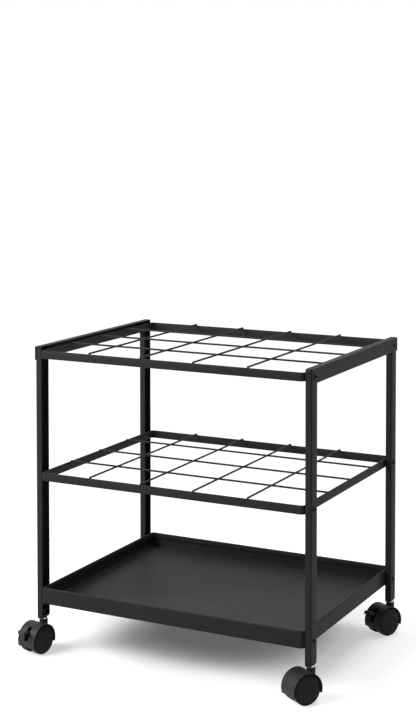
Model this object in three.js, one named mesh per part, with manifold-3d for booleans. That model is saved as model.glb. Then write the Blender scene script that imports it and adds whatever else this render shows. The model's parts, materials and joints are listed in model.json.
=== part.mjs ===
// Blueprint storage cart: two wire-grid tiers and a folded tray bolted between four
// channel posts, two top side rails, and four twin-wheel casters, two of them braked.
// Millimetres, +Z up, the front faces -Y. The origin is on the floor under the middle of the cart.
import * as THREE from 'three';
import { mergeVertices } from 'three/addons/utils/BufferGeometryUtils.js';
import Module from 'manifold-3d';

const wasm = await Module();
wasm.setup();

// Driving dimensions of the tiers and their slots
const slotColumns = 5;
const slotRows = 4;
const tierWidth = 507.5;
const tierDepth = 396;
const barHeight = 14.5;
const barThickness = 3;
const tierCornerRadius = 8;
const wireRadius = 1.7;
const crossWireSink = 1.85;
const wireEndInset = 0.5;

// Driving heights above the floor
const overallHeight = 544.5;
const topTierDrop = 6;
const middleTierTop = 322;
const trayLipHeight = 116.4;

// Tray
const trayWallHeight = 29;
const traySheet = 1.5;
const hemThickness = 4;
const hemDepth = 9;
const trayBoltDrop = 17.5;

// Posts and rails
const postWeb = 24;
const postFlange = 11.2;
const postSheet = 1.5;
const postBendRadius = 2.5;
const postSetBack = 4;
const footPlateThickness = 6;
const footChamfer = 3;
const railHeight = 24.6;
const railSheet = 1.5;

// Bolts
const boltShankRadius = 2.4;
const boltHoleRadius = 2.75;
const boltHeadRadius = 4.6;
const boltHeadHeight = 2.6;
const boltCrownRadius = 3.2;
const boltSocketRadius = 1.7;
const boltSocketDepth = 1.4;
const boltEndStandOut = 0.5;

// Casters
const wheelRadius = 25;
const wheelBoreRadius = 3.3;
const wheelBoreDepth = 10.8;
const wheelRimWidth = 4;
const wheelDish = 1.2;
const wheelTreadCrown = 0.8;
const axleRadius = 3;
const casterOffset = 17.7;
const casterHalfWidth = 19.2;
const casterWebHalf = 6;
const hoodClearance = 1.5;
const hoodWall = 1.5;
const hoodFrontEndAngle = -18;
const hoodTrailEndAngle = 201;
const hubPlateRadius = 9;
const stemRadius = 3;
const stemCollarRadius = 6.8;
const stemCollarHeight = 2.4;
const stemTopAbovePlate = 8;
const stemTipChamfer = 1;
const stemBottomAboveAxle = 11;
const bossRadius = 7.6;
const bossStandOut = 2.8;

// Brake levers
const leverPivotDistance = 19;
const leverPivotAngle = 138;
const leverHalfWidth = 4;
const leverThickness = 3.6;
const leverHubRadius = 3.6;
const leverLength = 27;
const leverLipDrop = 2.4;
const leverPinRadius = 1.6;
const leverSlotInnerRadius = 12.5;
const leverSlotStartAngle = 122;
const leverSlotEndAngle = 177;
const leverLiftedAngle = 20;

// Swivel angle of each caster about its stem, in degrees, and the casters that have a brake lever
const frontLeftSwivelAngle = -9.5;
const frontRightSwivelAngle = -32.2;
const rearLeftSwivelAngle = 160;
const rearRightSwivelAngle = -26;
const casterSwivelAngles = {
  front_left: frontLeftSwivelAngle,
  front_right: frontRightSwivelAngle,
  rear_left: rearLeftSwivelAngle,
  rear_right: rearRightSwivelAngle,
};
const brakedCasters = ['front_left', 'rear_right'];

// Gap kept between touching pieces, overrun of a cut, and the number of facets
const gap = 0.3;
const overrun = 1;
const cornerFacets = 3;
const boltFacets = 10;
const holeFacets = 10;
const wireFacets = 8;
const wheelFacets = 20;
const hoodFacets = 24;
const tabFacets = 4;
const stemFacets = 10;

// Derived places
const tierHalfX = tierWidth / 2;
const tierHalfY = tierDepth / 2;
const topTierTop = overallHeight - topTierDrop;
const postInnerX = tierHalfX + gap;
const postOuterX = postInnerX + postFlange;
const postCentreX = postInnerX + postFlange / 2;
const postCentreY = tierHalfY - postSetBack - postWeb / 2;
const postTop = overallHeight - railSheet - gap;
const railHalfLength = tierHalfY - postSetBack;
const railInnerFaceX = postOuterX + gap;
const railOuterFaceX = railInnerFaceX + railSheet;
const boltHeights = {
  top: topTierTop - barHeight / 2,
  middle: middleTierTop - barHeight / 2,
  tray: trayLipHeight - trayBoltDrop,
};
const hoodCavityRadius = wheelRadius + hoodClearance;
const hoodRadius = hoodCavityRadius + hoodWall;
const stemBottomHeight = wheelRadius + stemBottomAboveAxle;
const bossTopHeight = wheelRadius + hoodRadius + bossStandOut;
const collarBottom = bossTopHeight + gap;
const collarTop = collarBottom + stemCollarHeight;
const postFootHeight = collarTop + gap;
const stemSocketRadius = stemRadius + gap;
const leverSlotHalfWidth = leverHalfWidth + gap;
const leverPinHoleRadius = leverPinRadius + gap;
const longWireHeight = gap + wireRadius;
const crossWireHeight = longWireHeight - crossWireSink;
const wheelInnerFace = casterWebHalf + gap;
const wheelWidth = casterHalfWidth - gap - wheelInnerFace;
const innerWidth = tierWidth - 2 * barThickness;
const innerDepth = tierDepth - 2 * barThickness;

const black = (name, color, roughness, metalness) => {
  const material = new THREE.MeshStandardMaterial({ color, roughness, metalness });
  material.name = name;
  return material;
};
const frameCoat = black('frame_coat', 0x26272a, 0.5, 0.2);
const trayCoat = black('tray_coat', 0x222325, 0.35, 0.2);
const boltBlack = black('bolt_black', 0x1a1a1c, 0.4, 0.6);
const casterNylon = black('caster_nylon', 0x1e1f21, 0.45, 0);
const wheelNylon = black('wheel_nylon', 0x17181a, 0.4, 0);
const zincSteel = black('zinc_steel', 0xb9bcc0, 0.35, 0.9);

const cart = new THREE.Group();

// A closed three.js geometry becomes a solid for cutting, and a solid becomes a geometry again
function solid(geometry) {
  const bare = geometry.index ? geometry : geometry.clone();
  bare.deleteAttribute('normal');
  bare.deleteAttribute('uv');
  const merged = mergeVertices(bare, 1e-4);
  const mesh = new wasm.Mesh({
    numProp: 3,
    vertProperties: new Float32Array(merged.attributes.position.array),
    triVerts: new Uint32Array(merged.index.array),
  });
  mesh.merge();
  return new wasm.Manifold(mesh);
}

function geometryOf(manifold) {
  const mesh = manifold.getMesh();
  const geometry = new THREE.BufferGeometry();
  geometry.setAttribute('position', new THREE.BufferAttribute(new Float32Array(mesh.vertProperties), 3));
  geometry.setIndex(new THREE.BufferAttribute(new Uint32Array(mesh.triVerts), 1));
  geometry.computeVertexNormals();
  return geometry;
}

function addMesh(name, geometry, material, parent = cart) {
  const mesh = new THREE.Mesh(geometry, material);
  mesh.name = name;
  parent.add(mesh);
  return mesh;
}

function block(low, high) {
  const size = high.map((value, i) => value - low[i]);
  const geometry = new THREE.BoxGeometry(...size);
  geometry.translate(...low.map((value, i) => value + size[i] / 2));
  return geometry;
}

// Round rods along each axis, centred on a point
function rodX(radius, length, facets, centre) {
  const geometry = new THREE.CylinderGeometry(radius, radius, length, facets);
  geometry.rotateZ(Math.PI / 2);
  geometry.translate(...centre);
  return geometry;
}

function rodY(radius, length, facets, centre) {
  const geometry = new THREE.CylinderGeometry(radius, radius, length, facets);
  geometry.translate(...centre);
  return geometry;
}

function rodZ(radius, length, facets, centre) {
  const geometry = new THREE.CylinderGeometry(radius, radius, length, facets);
  geometry.rotateX(Math.PI / 2);
  geometry.translate(...centre);
  return geometry;
}

// Outline of a rectangle with round corners, centred on the origin
function roundedRectangle(halfX, halfY, radius, Type = THREE.Shape) {
  const shape = new Type();
  const cx = halfX - radius;
  const cy = halfY - radius;
  shape.moveTo(-cx, -halfY);
  shape.lineTo(cx, -halfY);
  shape.absarc(cx, -cy, radius, -Math.PI / 2, 0, false);
  shape.lineTo(halfX, cy);
  shape.absarc(cx, cy, radius, 0, Math.PI / 2, false);
  shape.lineTo(-cx, halfY);
  shape.absarc(-cx, cy, radius, Math.PI / 2, Math.PI, false);
  shape.lineTo(-halfX, -cy);
  shape.absarc(-cx, -cy, radius, Math.PI, 1.5 * Math.PI, false);
  return shape;
}

function extrudeUp(shape, bottom, top) {
  const geometry = new THREE.ExtrudeGeometry(shape, {
    depth: top - bottom,
    bevelEnabled: false,
    curveSegments: cornerFacets,
  });
  geometry.translate(0, 0, bottom);
  return geometry;
}

const wireColumnX = (i) => -tierHalfX + (tierWidth * i) / slotColumns;
const wireRowY = (j) => -tierHalfY + (tierDepth * j) / slotRows;

// Holes for the bolts through both side walls of a tier or the tray, at the four posts
function boltHoles(body, height) {
  let result = body;
  for (const y of [-postCentreY, postCentreY]) {
    const through = tierWidth + 2 * overrun;
    result = result.subtract(solid(rodX(boltHoleRadius, through, holeFacets, [0, y, height])));
  }
  return result;
}

// Tier frame: flat bar on edge, closed into a rectangle, with weld notches for the wires
function tierFrame(name, top, boltHeight) {
  const outline = roundedRectangle(tierHalfX, tierHalfY, tierCornerRadius);
  const innerRadius = tierCornerRadius - barThickness;
  outline.holes.push(roundedRectangle(innerWidth / 2, innerDepth / 2, innerRadius, THREE.Path));
  let body = solid(extrudeUp(outline, top - barHeight, top));
  const notchHalf = wireRadius + gap;
  const crossBottom = top + crossWireHeight - notchHalf;
  for (let j = 1; j < slotRows; j += 1) {
    const y = wireRowY(j);
    const low = [-tierHalfX - overrun, y - notchHalf, crossBottom];
    const high = [tierHalfX + overrun, y + notchHalf, top + overrun];
    body = body.subtract(solid(block(low, high)));
  }
  addMesh(name, geometryOf(boltHoles(body, boltHeight)), frameCoat);
}

// Wires of one tier: the left-right wires sink into the side bars, and the front-back wires,
// which lie on the front and back bars, are pressed over them
function tierWires(tier, top) {
  const crossZ = top + crossWireHeight;
  const longZ = top + longWireHeight;
  const crossLength = tierWidth - 2 * wireEndInset;
  const longLength = tierDepth - 2 * wireEndInset;
  for (let j = 1; j < slotRows; j += 1) {
    const wire = rodX(wireRadius, crossLength, wireFacets, [0, wireRowY(j), crossZ]);
    addMesh(`${tier}_cross_wire_${j}`, wire, frameCoat);
  }
  for (let i = 1; i < slotColumns; i += 1) {
    let wire = solid(rodY(wireRadius, longLength, wireFacets, [wireColumnX(i), 0, longZ]));
    for (let j = 1; j < slotRows; j += 1) {
      const half = wireRadius + gap;
      const low = [wireColumnX(i) - half, wireRowY(j) - half, crossZ - half];
      const high = [wireColumnX(i) + half, wireRowY(j) + half, crossZ + half];
      wire = wire.subtract(solid(block(low, high)));
    }
    addMesh(`${tier}_long_wire_${i}`, geometryOf(wire), frameCoat);
  }
}

// Tray: a folded pan whose wall tops are hemmed inwards
function tray() {
  const bottom = trayLipHeight - trayWallHeight;
  const outer = roundedRectangle(tierHalfX, tierHalfY, tierCornerRadius);
  const inside = (inset) => roundedRectangle(tierHalfX - inset, tierHalfY - inset, tierCornerRadius - inset);
  let body = solid(extrudeUp(outer, bottom, trayLipHeight));
  const pan = extrudeUp(inside(traySheet), bottom + traySheet, trayLipHeight - hemDepth);
  const mouth = extrudeUp(inside(hemThickness), bottom + traySheet, trayLipHeight + overrun);
  body = body.subtract(solid(pan)).subtract(solid(mouth));
  addMesh('tray', geometryOf(boltHoles(body, boltHeights.tray)), trayCoat);
}

// Post: a channel whose web faces outwards and whose flanges bear on the tiers' side bars.
// A plate welded into its foot takes the caster's stem.
function post(corner, sideX, sideY) {
  const half = postWeb / 2;
  const outline = new THREE.Shape();
  const depth = postFlange;
  outline.moveTo(0, -half);
  outline.lineTo(depth - postBendRadius, -half);
  outline.absarc(depth - postBendRadius, -half + postBendRadius, postBendRadius, -Math.PI / 2, 0, false);
  outline.lineTo(depth, half - postBendRadius);
  outline.absarc(depth - postBendRadius, half - postBendRadius, postBendRadius, 0, Math.PI / 2, false);
  outline.lineTo(0, half);
  outline.lineTo(0, half - postSheet);
  outline.lineTo(depth - postSheet, half - postSheet);
  outline.lineTo(depth - postSheet, -half + postSheet);
  outline.lineTo(0, -half + postSheet);
  outline.closePath();
  let body = solid(extrudeUp(outline, postFootHeight, postTop));
  const plate = block(
    [0, -half + postSheet / 2, postFootHeight],
    [depth - postSheet / 2, half - postSheet / 2, postFootHeight + footPlateThickness],
  );
  body = body.add(solid(plate));
  const stemHole = rodZ(stemSocketRadius, 4 * footPlateThickness, holeFacets, [depth / 2, 0, postFootHeight]);
  body = body.subtract(solid(stemHole));
  for (const height of Object.values(boltHeights)) {
    body = body.subtract(solid(rodX(boltHoleRadius, 2 * overrun + 2 * depth, holeFacets, [depth, 0, height])));
  }
  const wedge = new THREE.Shape();
  wedge.moveTo(half - footChamfer, postFootHeight - overrun);
  wedge.lineTo(half + overrun, postFootHeight - overrun);
  wedge.lineTo(half + overrun, postFootHeight + footChamfer);
  wedge.lineTo(half, postFootHeight + footChamfer);
  wedge.lineTo(half - footChamfer, postFootHeight);
  wedge.closePath();
  const cut = new THREE.ExtrudeGeometry(wedge, { depth: depth + 2 * overrun, bevelEnabled: false });
  cut.rotateY(Math.PI / 2);
  cut.rotateX(Math.PI / 2);
  cut.translate(-overrun, 0, 0);
  body = body.subtract(solid(cut));
  const mirror = sideX < 0 ? body.mirror([1, 0, 0]) : body;
  const mesh = addMesh(`${corner}_post`, geometryOf(mirror), frameCoat);
  mesh.position.set(sideX * postInnerX, sideY * postCentreY, 0);
}

// Side rail: an angle strip that caps the posts' tops and covers their webs
function sideRail(name, sideX) {
  const outline = new THREE.Shape();
  const bottom = overallHeight - railHeight;
  outline.moveTo(postInnerX, overallHeight);
  outline.lineTo(postInnerX, overallHeight - railSheet);
  outline.lineTo(railInnerFaceX, overallHeight - railSheet);
  outline.lineTo(railInnerFaceX, bottom);
  outline.lineTo(railOuterFaceX, bottom);
  outline.lineTo(railOuterFaceX, overallHeight);
  outline.closePath();
  const strip = new THREE.ExtrudeGeometry(outline, { depth: 2 * railHalfLength, bevelEnabled: false });
  strip.rotateX(Math.PI / 2);
  strip.translate(0, railHalfLength, 0);
  let body = solid(strip);
  for (const y of [-postCentreY, postCentreY]) {
    const through = 2 * overrun + 2 * railSheet;
    const hole = rodX(boltHoleRadius, through, holeFacets, [railInnerFaceX + railSheet / 2, y, boltHeights.top]);
    body = body.subtract(solid(hole));
  }
  const result = sideX < 0 ? body.mirror([1, 0, 0]) : body;
  addMesh(name, geometryOf(result), frameCoat);
}

// Bolt: a truss head with a socket, its shank running inwards along -X
function boltGeometry(length) {
  const profile = [
    [0, -length],
    [boltShankRadius, -length],
    [boltShankRadius, 0],
    [boltHeadRadius, 0],
    [boltCrownRadius, boltHeadHeight],
    [boltSocketRadius, boltHeadHeight],
    [boltSocketRadius, boltHeadHeight - boltSocketDepth],
    [0, boltHeadHeight - boltSocketDepth],
  ];
  const geometry = new THREE.LatheGeometry(profile.map(([r, h]) => new THREE.Vector2(r, h)), boltFacets);
  geometry.rotateZ(-Math.PI / 2);
  return geometryOf(solid(geometry));
}

function bolts(corner, sideX, sideY) {
  for (const [level, height] of Object.entries(boltHeights)) {
    const seat = level === 'top' ? railOuterFaceX : postOuterX;
    const wall = level === 'tray' ? traySheet : barThickness;
    const headGap = gap;
    const length = seat + headGap - (tierHalfX - wall) + boltEndStandOut;
    const mesh = addMesh(`${corner}_${level}_bolt`, boltGeometry(length), boltBlack);
    mesh.position.set(sideX * (seat + headGap), sideY * postCentreY, height);
    mesh.rotation.z = sideX < 0 ? Math.PI : 0;
  }
}

// Caster pieces share a local frame: the stem's axis is Z, the axle lies behind it along -Y
const radians = THREE.MathUtils.degToRad;
const axlePoint = (distance, degrees) => [
  -casterOffset + distance * Math.cos(radians(degrees)),
  wheelRadius + distance * Math.sin(radians(degrees)),
];

function stemGeometry() {
  const top = postFootHeight + footPlateThickness + stemTopAbovePlate;
  const profile = [
    [0, stemBottomHeight],
    [stemRadius, stemBottomHeight],
    [stemRadius, collarBottom],
    [stemCollarRadius, collarBottom],
    [stemCollarRadius, collarTop],
    [stemRadius, collarTop],
    [stemRadius, top - stemTipChamfer],
    [stemRadius - stemTipChamfer, top],
    [0, top],
  ];
  const geometry = new THREE.LatheGeometry(profile.map(([r, h]) => new THREE.Vector2(r, h)), stemFacets);
  geometry.rotateX(Math.PI / 2);
  return geometryOf(solid(geometry));
}

// Extrudes an outline drawn in (Y, Z) of the caster's side view to both sides of its middle plane
function sidePlate(shape, halfWidth, facets = hoodFacets) {
  const geometry = new THREE.ExtrudeGeometry(shape, {
    depth: 2 * halfWidth,
    bevelEnabled: false,
    curveSegments: facets,
  });
  geometry.rotateY(Math.PI / 2);
  geometry.rotateX(Math.PI / 2);
  geometry.translate(-halfWidth, 0, 0);
  return geometry;
}

function housingGeometry(braked) {
  const start = radians(hoodFrontEndAngle);
  const end = radians(hoodTrailEndAngle);
  const hood = new THREE.Shape();
  hood.moveTo(...axlePoint(hoodRadius, hoodFrontEndAngle));
  hood.absarc(-casterOffset, wheelRadius, hoodRadius, start, end, false);
  hood.lineTo(-casterOffset, wheelRadius - hubPlateRadius);
  hood.closePath();
  let body = solid(sidePlate(hood, casterHalfWidth));
  const hub = rodX(hubPlateRadius, 2 * casterWebHalf, hoodFacets, [0, -casterOffset, wheelRadius]);
  body = body.add(solid(hub));
  const bossHeight = bossTopHeight - stemBottomHeight;
  const boss = rodZ(bossRadius, bossHeight, hoodFacets, [0, 0, stemBottomHeight + bossHeight / 2]);
  body = body.add(solid(boss));
  const cavityWidth = casterHalfWidth + overrun - casterWebHalf;
  for (const side of [-1, 1]) {
    const centre = [side * (casterWebHalf + cavityWidth / 2), -casterOffset, wheelRadius];
    body = body.subtract(solid(rodX(hoodCavityRadius, cavityWidth, hoodFacets, centre)));
  }
  const socketBottom = stemBottomHeight - gap;
  const socketHeight = bossTopHeight + overrun - socketBottom;
  const socket = rodZ(stemSocketRadius, socketHeight, holeFacets, [0, 0, socketBottom + socketHeight / 2]);
  body = body.subtract(solid(socket));
  const axleHole = rodX(wheelBoreRadius, 4 * casterWebHalf, holeFacets, [0, -casterOffset, wheelRadius]);
  body = body.subtract(solid(axleHole));
  if (braked) {
    const slotStart = radians(leverSlotStartAngle);
    const slotEnd = radians(leverSlotEndAngle);
    const slotOuter = hoodRadius + overrun + overrun;
    const slot = new THREE.Shape();
    slot.moveTo(...axlePoint(slotOuter, leverSlotStartAngle));
    slot.absarc(-casterOffset, wheelRadius, slotOuter, slotStart, slotEnd, false);
    slot.lineTo(...axlePoint(leverSlotInnerRadius, leverSlotEndAngle));
    slot.absarc(-casterOffset, wheelRadius, leverSlotInnerRadius, slotEnd, slotStart, true);
    slot.closePath();
    body = body.subtract(solid(sidePlate(slot, leverSlotHalfWidth)));
    const [pinY, pinZ] = axlePoint(leverPivotDistance, leverPivotAngle);
    const pinHole = rodX(leverPinHoleRadius, 4 * casterWebHalf, holeFacets, [0, pinY, pinZ]);
    body = body.subtract(solid(pinHole));
  }
  return geometryOf(body);
}

function wheelGeometry() {
  const polygon = 1 / Math.cos(Math.PI / wheelFacets);
  const outer = wheelRadius * polygon;
  const shoulder = (wheelRadius - wheelTreadCrown) * polygon;
  const profile = [
    [0, wheelBoreDepth],
    [wheelBoreRadius, wheelBoreDepth],
    [wheelBoreRadius, 0],
    [shoulder, 0],
    [outer, wheelTreadCrown],
    [outer, wheelWidth - wheelTreadCrown],
    [shoulder, wheelWidth],
    [outer - wheelRimWidth, wheelWidth],
    [outer - wheelRimWidth - wheelDish, wheelWidth - wheelDish],
    [0, wheelWidth - wheelDish / 2],
  ];
  const phase = Math.PI / wheelFacets;
  const points = profile.map(([r, h]) => new THREE.Vector2(r, h));
  const geometry = new THREE.LatheGeometry(points, wheelFacets, phase);
  geometry.rotateZ(-Math.PI / 2);
  return geometry;
}

// Brake lever: a flat tab with a down-turned lip, round its hinge pin
function leverGeometry() {
  const half = leverThickness / 2;
  const tip = leverLength - half;
  const tab = new THREE.Shape();
  tab.moveTo(0, half);
  tab.lineTo(-tip, half);
  tab.absarc(-tip, 0, half, Math.PI / 2, Math.PI, false);
  tab.lineTo(-leverLength, -half - leverLipDrop);
  tab.lineTo(half - leverLength, -half - leverLipDrop);
  tab.lineTo(leverThickness - leverLength, -half);
  tab.lineTo(0, -half);
  tab.closePath();
  const hub = rodX(leverHubRadius, 2 * leverHalfWidth, holeFacets, [0, 0, 0]);
  const pin = rodX(leverPinRadius, 2 * (casterWebHalf - gap), boltFacets, [0, 0, 0]);
  return geometryOf(solid(sidePlate(tab, leverHalfWidth, tabFacets)).add(solid(hub)).add(solid(pin)));
}

function caster(corner, sideX, sideY) {
  const group = new THREE.Group();
  group.position.set(sideX * postCentreX, sideY * postCentreY, 0);
  group.rotation.z = radians(casterSwivelAngles[corner]);
  cart.add(group);
  const stem = addMesh(`${corner}_caster_stem`, stemGeometry(), zincSteel, group);
  stem.rotation.z = -group.rotation.z;
  const braked = brakedCasters.includes(corner);
  addMesh(`${corner}_caster_hood`, housingGeometry(braked), casterNylon, group);
  const axleHalf = wheelInnerFace + wheelBoreDepth - gap;
  const axle = rodX(axleRadius, 2 * axleHalf, stemFacets, [0, -casterOffset, wheelRadius]);
  addMesh(`${corner}_caster_axle`, axle, zincSteel, group);
  for (const [side, sign] of [['inner', -1], ['outer', 1]]) {
    const wheel = addMesh(`${corner}_${side}_wheel`, wheelGeometry(), wheelNylon, group);
    wheel.position.set(sign * wheelInnerFace, -casterOffset, wheelRadius);
    wheel.rotation.z = sign < 0 ? Math.PI : 0;
  }
  if (braked) {
    const [pinY, pinZ] = axlePoint(leverPivotDistance, leverPivotAngle);
    const mesh = addMesh(`${corner}_brake_lever`, leverGeometry(), casterNylon, group);
    mesh.position.set(0, pinY, pinZ);
    mesh.rotation.x = -radians(leverLiftedAngle);
  }
}

tierFrame('top_tier_frame', topTierTop, boltHeights.top);
tierFrame('middle_tier_frame', middleTierTop, boltHeights.middle);
tierWires('top', topTierTop);
tierWires('middle', middleTierTop);
tray();
sideRail('left_rail', -1);
sideRail('right_rail', 1);
const corners = {
  front_left: [-1, -1],
  front_right: [1, -1],
  rear_left: [-1, 1],
  rear_right: [1, 1],
};
for (const [corner, [sideX, sideY]] of Object.entries(corners)) {
  post(corner, sideX, sideY);
  bolts(corner, sideX, sideY);
  caster(corner, sideX, sideY);
}

export default cart;
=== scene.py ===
import json
import math

import bmesh
import bpy
from mathutils import Matrix, Vector


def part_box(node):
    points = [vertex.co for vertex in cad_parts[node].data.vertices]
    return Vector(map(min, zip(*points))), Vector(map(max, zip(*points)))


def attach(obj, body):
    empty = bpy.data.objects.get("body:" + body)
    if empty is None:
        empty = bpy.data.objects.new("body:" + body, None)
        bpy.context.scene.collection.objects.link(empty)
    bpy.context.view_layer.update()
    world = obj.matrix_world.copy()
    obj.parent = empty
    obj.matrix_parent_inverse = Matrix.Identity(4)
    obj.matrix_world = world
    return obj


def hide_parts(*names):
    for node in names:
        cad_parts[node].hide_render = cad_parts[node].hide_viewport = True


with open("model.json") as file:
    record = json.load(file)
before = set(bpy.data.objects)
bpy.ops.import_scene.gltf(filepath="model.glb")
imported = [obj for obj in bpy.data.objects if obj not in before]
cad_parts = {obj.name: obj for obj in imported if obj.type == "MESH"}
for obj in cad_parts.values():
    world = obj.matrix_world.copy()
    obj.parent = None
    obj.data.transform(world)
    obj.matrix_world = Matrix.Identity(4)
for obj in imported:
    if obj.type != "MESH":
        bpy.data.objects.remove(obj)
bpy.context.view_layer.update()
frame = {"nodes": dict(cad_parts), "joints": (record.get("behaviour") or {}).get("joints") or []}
MM = 0.001
CORNERS = ("front_left", "front_right", "rear_left", "rear_right")
running_gap = 0.3 * MM
joints = {joint["name"]: joint for joint in frame["joints"]}
scene = bpy.context.scene


# Camera
# It stands to the right of the cart's front and above its top, and its shift frames the cart
# low in a tall picture.
image_height = 716
focal_length_px = 1505.7
sensor_size = 36.0
camera_place = (1.2260, -2.3977, 0.9593)
camera_yaw = math.radians(26.70)
camera_pitch = math.radians(-2.52)
camera_shift = (-0.03026, -0.2528)

camera_data = bpy.data.cameras.new("camera")
camera_data.sensor_width = sensor_size
camera_data.lens = focal_length_px / image_height * sensor_size
camera_data.shift_x, camera_data.shift_y = camera_shift
camera_data.clip_end = 60
camera = bpy.data.objects.new("camera", camera_data)
camera.location = camera_place
camera.rotation_euler = (math.pi / 2 + camera_pitch, 0, camera_yaw)
scene.collection.objects.link(camera)
scene.camera = camera
scene.view_settings.view_transform = "Standard"


# Studio
# A wide pale floor, a white surround, and two large soft lamps: the key from the left front and
# one overhead. The floor glows by the stops, each a distance from a centre a little left of and
# behind the cart's middle and the white there, so that it ends as white as the surround. This glow
# is painted light: near the cart it is small, so that it paints the depth and shape of the cart's
# shadow on the floor.
floor_half = 20.0
floor_colour = (0.56, 0.56, 0.56, 1)
# Painted shadow: the floor's glow is least round this centre, so the cart's shadow is painted darkest
# here.
painted_shadow_centre = (-0.03, 0.05, 0)
glow_reach = 6.0
glow_and_painted_shadow_stops = ((0.10, 0.11), (0.16, 0.16), (0.20, 0.29), (0.24, 0.47), (0.30, 0.54), (0.36, 0.58),
              (0.42, 0.60), (0.50, 0.56), (1.0, 0.56), (2.3, 0.82), (4.6, 0.92))
floor_roughness = 0.9
surround_light = 0.24


def seen_directly(tree):
    """1 for rays that see the backdrop directly or in gloss or glass, and 0 for light on the object."""
    path = tree.nodes.new("ShaderNodeLightPath")
    value = path.outputs["Is Camera Ray"]
    for name in ("Is Glossy Ray", "Is Transmission Ray"):
        either = tree.nodes.new("ShaderNodeMath")
        either.operation = "MAXIMUM"
        tree.links.new(value, either.inputs[0])
        tree.links.new(path.outputs[name], either.inputs[1])
        value = either.outputs[0]
    return value


def make_surround():
    world = bpy.data.worlds.new("surround")
    scene.world = world
    world.use_nodes = True
    tree = world.node_tree
    background = tree.nodes["Background"]
    background.inputs["Color"].default_value = (1, 1, 1, 1)
    strength = tree.nodes.new("ShaderNodeMapRange")
    strength.inputs["To Min"].default_value = surround_light
    strength.inputs["To Max"].default_value = 1.0
    tree.links.new(seen_directly(tree), strength.inputs["Value"])
    tree.links.new(strength.outputs["Result"], background.inputs["Strength"])


def make_floor():
    mesh = bpy.data.meshes.new("floor")
    corners = [(-1, -1), (1, -1), (1, 1), (-1, 1)]
    mesh.from_pydata([(x * floor_half, y * floor_half, 0) for x, y in corners], [], [(0, 1, 2, 3)])
    floor = bpy.data.objects.new("floor", mesh)
    scene.collection.objects.link(floor)
    material = bpy.data.materials.new("floor")
    material.use_nodes = True
    tree = material.node_tree
    shader = tree.nodes["Principled BSDF"]
    shader.inputs["Base Color"].default_value = floor_colour
    shader.inputs["Roughness"].default_value = floor_roughness
    shader.inputs["Specular IOR Level"].default_value = 0.0
    shader.inputs["Emission Color"].default_value = (1, 1, 1, 1)
    place = tree.nodes.new("ShaderNodeTexCoord")
    distance = tree.nodes.new("ShaderNodeVectorMath")
    distance.operation = "DISTANCE"
    distance.inputs[1].default_value = painted_shadow_centre
    tree.links.new(place.outputs["Object"], distance.inputs[0])
    reach = tree.nodes.new("ShaderNodeMath")
    reach.operation = "DIVIDE"
    reach.inputs[1].default_value = glow_reach
    tree.links.new(distance.outputs["Value"], reach.inputs[0])
    # Painted light: the glow grows with the distance from the centre and paints the cart's shadow on
    # the floor.
    glow = tree.nodes.new("ShaderNodeValToRGB")
    stops = glow.color_ramp.elements
    stops.remove(stops[1])
    for i, (radius, white) in enumerate(glow_and_painted_shadow_stops):
        share = radius / glow_reach
        stop = stops.new(share) if i else stops[0]
        stop.position = share
        stop.color = (white, white, white, 1)
    tree.links.new(reach.outputs[0], glow.inputs["Fac"])
    shown = tree.nodes.new("ShaderNodeMath")
    shown.operation = "MULTIPLY"
    tree.links.new(seen_directly(tree), shown.inputs[0])
    tree.links.new(glow.outputs[0], shown.inputs[1])
    tree.links.new(shown.outputs[0], shader.inputs["Emission Strength"])
    mesh.materials.append(material)


def make_lamp(name, place, target, size, power):
    data = bpy.data.lights.new(name, "AREA")
    data.shape = "RECTANGLE"
    data.size, data.size_y = size
    data.energy = power
    lamp = bpy.data.objects.new(name, data)
    lamp.location = place
    lamp.rotation_euler = (Vector(target) - Vector(place)).to_track_quat("-Z", "Y").to_euler()
    scene.collection.objects.link(lamp)


make_surround()
make_floor()
cart_middle = (0, 0, 0.3)
key_place = (-1.2, -1.35, 1.4)
overhead_place = (0.35, 0.55, 2.25)
make_lamp("key_lamp", key_place, cart_middle, size=(1.2, 1.0), power=66)
make_lamp("overhead_lamp", overhead_place, cart_middle, size=(1.3, 1.3), power=30)


# Tier frames
# Each tier is a 3 x 14.5 mm flat bar on edge, bent round four corners into a closed ring, and
# powder-coated satin black together with its wires.
bar_thickness = 3.0 * MM
bar_edge_radius = 0.55 * MM
tier_corner_radius = 8.0 * MM
least_corner_radius = 0.4 * MM
corner_steps = 9
sharp_degrees = 35
coat_colour = (0.0150, 0.0151, 0.0156)


def noise(tree, scale, detail):
    """Noise on object coordinates, its scale in waves per metre."""
    place = tree.nodes.new("ShaderNodeTexCoord")
    texture = tree.nodes.new("ShaderNodeTexNoise")
    texture.inputs["Scale"].default_value = scale
    texture.inputs["Detail"].default_value = detail
    tree.links.new(place.outputs["Object"], texture.inputs["Vector"])
    return texture.outputs["Fac"]


def spread(tree, value, low, high):
    """Stretches a noise value from its usual middle range to low..high."""
    ramp = tree.nodes.new("ShaderNodeMapRange")
    ramp.inputs["From Min"].default_value = 0.3
    ramp.inputs["From Max"].default_value = 0.7
    ramp.inputs["To Min"].default_value = low
    ramp.inputs["To Max"].default_value = high
    tree.links.new(value, ramp.inputs["Value"])
    return ramp.outputs["Result"]


def tinted(tree, value, colour, low, high):
    """The colour, made darker and lighter by a noise value."""
    mix = tree.nodes.new("ShaderNodeMix")
    mix.data_type = "RGBA"
    mix.inputs["A"].default_value = (*(c * low for c in colour), 1)
    mix.inputs["B"].default_value = (*(c * high for c in colour), 1)
    tree.links.new(spread(tree, value, 0, 1), mix.inputs["Factor"])
    return mix.outputs["Result"]


def bumped(tree, value, height, normal=None):
    bump = tree.nodes.new("ShaderNodeBump")
    bump.inputs["Strength"].default_value = 1.0
    bump.inputs["Distance"].default_value = height
    tree.links.new(value, bump.inputs["Height"])
    if normal:
        tree.links.new(normal, bump.inputs["Normal"])
    return bump.outputs["Normal"]


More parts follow.
